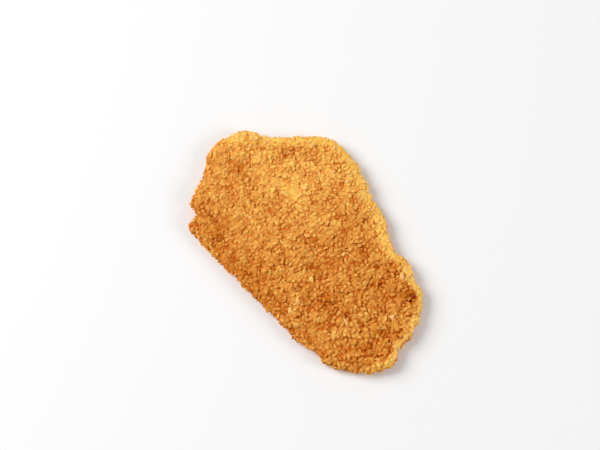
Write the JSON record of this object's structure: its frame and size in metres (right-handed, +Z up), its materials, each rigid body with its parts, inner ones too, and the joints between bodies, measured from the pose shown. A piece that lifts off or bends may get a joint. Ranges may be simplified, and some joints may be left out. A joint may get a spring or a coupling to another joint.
{
  "type": "breaded schnitzel",
  "caption": "Flat, uneven oval cutlet in a rough golden fried breadcrumb crust, broad at one end, with a rounded rim and a flat underside that it lies on.",
  "frame": {"origin": "on the surface that it lies on, under the middle of its outline's box", "axes": "+X along its length towards the narrow end, +Y across it, +Z up through its thickness"},
  "size_m": [0.2, 0.122, 0.012],
  "materials": {
    "crumb_crust": "dry, rough fried breadcrumbs with a trace of frying fat"
  },
  "bodies": {
    "root": {"schnitzel": "crumb_crust"}
  },
  "joints": []
}
